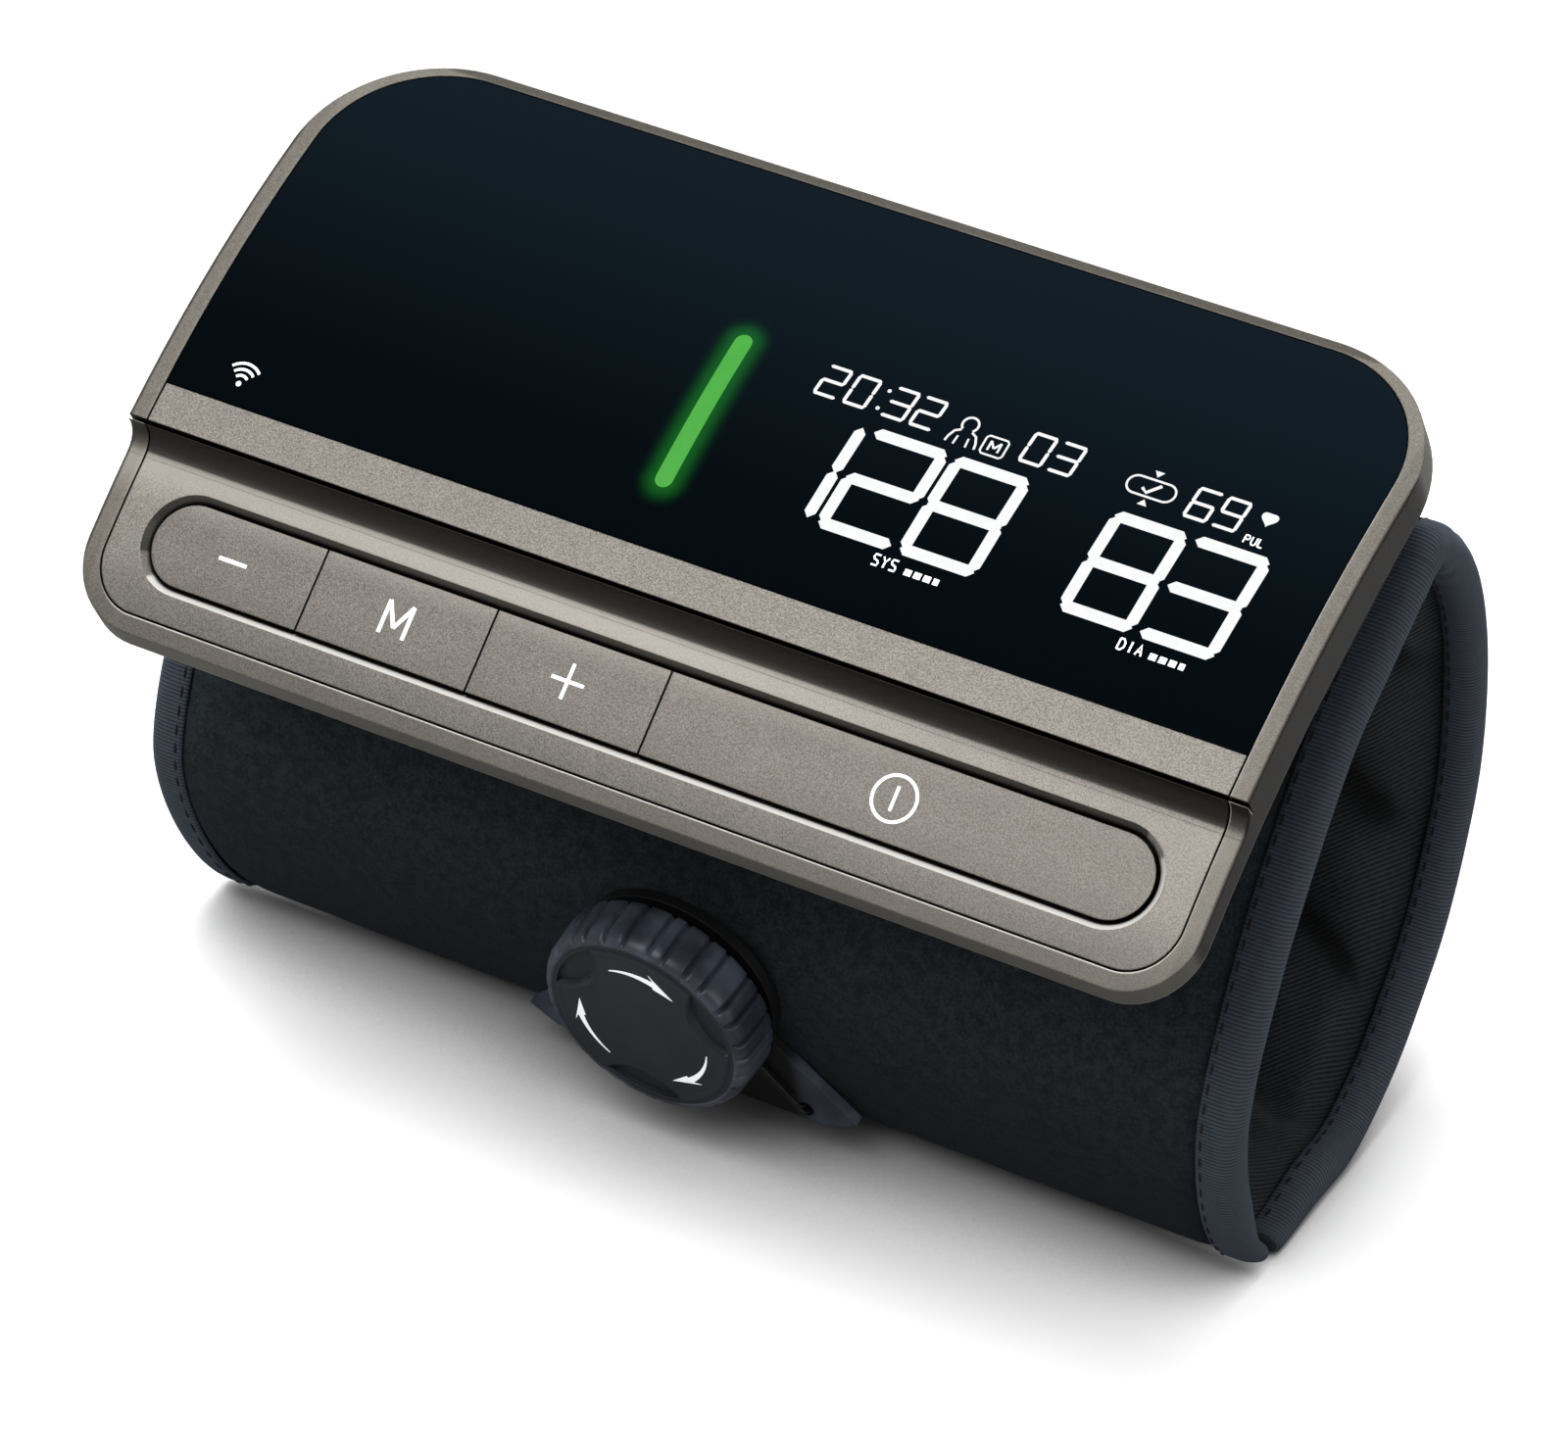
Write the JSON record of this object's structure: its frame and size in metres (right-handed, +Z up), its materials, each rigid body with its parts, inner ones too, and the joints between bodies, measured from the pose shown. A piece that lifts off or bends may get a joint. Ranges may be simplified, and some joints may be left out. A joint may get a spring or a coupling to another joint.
{
  "type": "blood pressure cuff",
  "caption": "Tubeless upper-arm blood pressure cuff: sloping control unit with curved glass display and button row on a preformed fabric cuff closed by a lace and winding dial.",
  "frame": {"origin": "on the floor, in the middle of the flat strip the cuff rests on", "axes": "+Z up, +X along the arm and the long side of the control unit, -Y towards the user and the winding dial"},
  "size_m": [0.15, 0.0815, 0.1014],
  "materials": {
    "metallic_paint": "satin",
    "cover_glass": "gloss",
    "adhesive": "matte",
    "display": "gloss",
    "light_guide": "gloss",
    "circuit_board": "satin",
    "black_parts": "matte",
    "bright_steel": "satin",
    "battery_wrap": "satin",
    "lead_insulation": "satin",
    "rotor": "satin",
    "dark_shell": "matte",
    "black_rubber": "matte",
    "pale_plastic": "satin",
    "clear_hose": "satin",
    "outer_fabric": "matte",
    "lining_fabric": "matte",
    "band_plastic": "matte",
    "bladder_film": "satin",
    "binding_tape": "matte",
    "lace_cord": "satin",
    "tab_plastic": "matte",
    "dial_plastic": "satin",
    "dial_rubber": "matte"
  },
  "bodies": {
    "unit_and_rear_cuff": {"frame": "metallic_paint", "fascia_plate": "metallic_paint", "display_glass": "cover_glass", "glass_tape": "adhesive", "display_module": "display", "status_light": "light_guide", "button_board": "circuit_board", "tact_switches": "bright_steel", "main_board": "circuit_board", "board_parts": "black_parts", "board_screws": "bright_steel", "battery_pack": "battery_wrap", "battery_lead": "lead_insulation", "pump_motor": "bright_steel", "pump_head": "dark_shell", "pump_cushion": "black_rubber", "release_valve": "black_parts", "pressure_sensor": "pale_plastic", "air_manifold": "dark_shell", "air_hoses": "clear_hose", "charging_socket": "bright_steel", "buzzer": "black_parts", "wireless_module": "bright_steel", "lower_shell": "dark_shell", "housing_screws": "bright_steel", "cuff_bracket": "dark_shell", "bracket_screws": "bright_steel", "air_port": "pale_plastic", "port_seal": "black_rubber", "sleeve_rear": "outer_fabric", "lining_rear": "lining_fabric", "former_rear": "band_plastic", "bladder_rear": "bladder_film", "edge_tape_rear": "binding_tape", "closure_tongue": "lining_fabric", "lace_guides_rear": "bright_steel"},
    "front_cuff": {"sleeve_front": "outer_fabric", "lining_front": "lining_fabric", "former_front": "band_plastic", "bladder_front": "bladder_film", "edge_tape_front": "binding_tape", "lace_guides_front": "bright_steel", "dial_base": "tab_plastic", "ratchet_ring": "dial_plastic", "lace": "lace_cord"},
    "minus_key": {"minus_button": "metallic_paint"},
    "memory_key": {"memory_button": "metallic_paint"},
    "plus_key": {"plus_button": "metallic_paint"},
    "start_key": {"start_button": "metallic_paint"},
    "pump_shaft": {"pump_rotor": "rotor"},
    "valve_stem": {"valve_plunger": "bright_steel"},
    "lace_spool": {"spool": "pale_plastic"},
    "dial_stem": {"dial_spindle": "bright_steel", "dial_screw": "bright_steel"},
    "winding_dial": {"dial_knob": "dial_plastic", "dial_grip": "dial_rubber", "pawl_ring": "pale_plastic", "dial_badge": "dial_plastic"}
  },
  "joints": [
    {"name": "cuff_open", "type": "hinge", "parent": "unit_and_rear_cuff", "child": "front_cuff", "pos_m": [0, 0.0062, 0.0709], "axis": [-1, 0, 0], "range_deg": [-1.5, 22], "deforming": ["lace"]},
    {"name": "spool_turn", "type": "hinge", "parent": "front_cuff", "child": "lace_spool", "pos_m": [0, -0.02165, 0.0216], "axis": [0, -0.9816, -0.1908], "range_deg": [-21, 296]},
    {"name": "dial_pull", "type": "slide", "parent": "front_cuff", "child": "dial_stem", "axis": [0, -0.9816, -0.1908], "range_m": [0, 0.002], "stiffness_N_per_m": 800, "springref_m": -0.001},
    {"name": "dial_turn", "type": "hinge", "parent": "dial_stem", "child": "winding_dial", "pos_m": [0, -0.02165, 0.0216], "axis": [0, -0.9816, -0.1908], "range_deg": [-21, 296]},
    {"name": "minus_press", "type": "slide", "parent": "unit_and_rear_cuff", "child": "minus_key", "axis": [0, 0.6658, -0.7462], "range_m": [0, 0.0005], "stiffness_N_per_m": 1500, "springref_m": -0.0005},
    {"name": "memory_press", "type": "slide", "parent": "unit_and_rear_cuff", "child": "memory_key", "axis": [0, 0.6658, -0.7462], "range_m": [0, 0.0005], "stiffness_N_per_m": 1500, "springref_m": -0.0005},
    {"name": "plus_press", "type": "slide", "parent": "unit_and_rear_cuff", "child": "plus_key", "axis": [0, 0.6658, -0.7462], "range_m": [0, 0.0005], "stiffness_N_per_m": 1500, "springref_m": -0.0005},
    {"name": "start_press", "type": "slide", "parent": "unit_and_rear_cuff", "child": "start_key", "axis": [0, 0.6658, -0.7462], "range_m": [0, 0.0005], "stiffness_N_per_m": 1500, "springref_m": -0.0005},
    {"name": "pump_spin", "type": "hinge", "parent": "unit_and_rear_cuff", "child": "pump_shaft", "pos_m": [0.05, 0.00302, 0.08076], "axis": [1, 0, 0], "continuous": true},
    {"name": "valve_close", "type": "slide", "parent": "unit_and_rear_cuff", "child": "valve_stem", "axis": [-1, 0, 0], "range_m": [0, 0.0008], "stiffness_N_per_m": 400, "springref_m": -0.001}
  ],
  "couplings": [
    {"joint": "dial_turn", "follows": "cuff_open", "ratio": 13.4},
    {"joint": "spool_turn", "follows": "cuff_open", "ratio": 13.4}
  ]
}
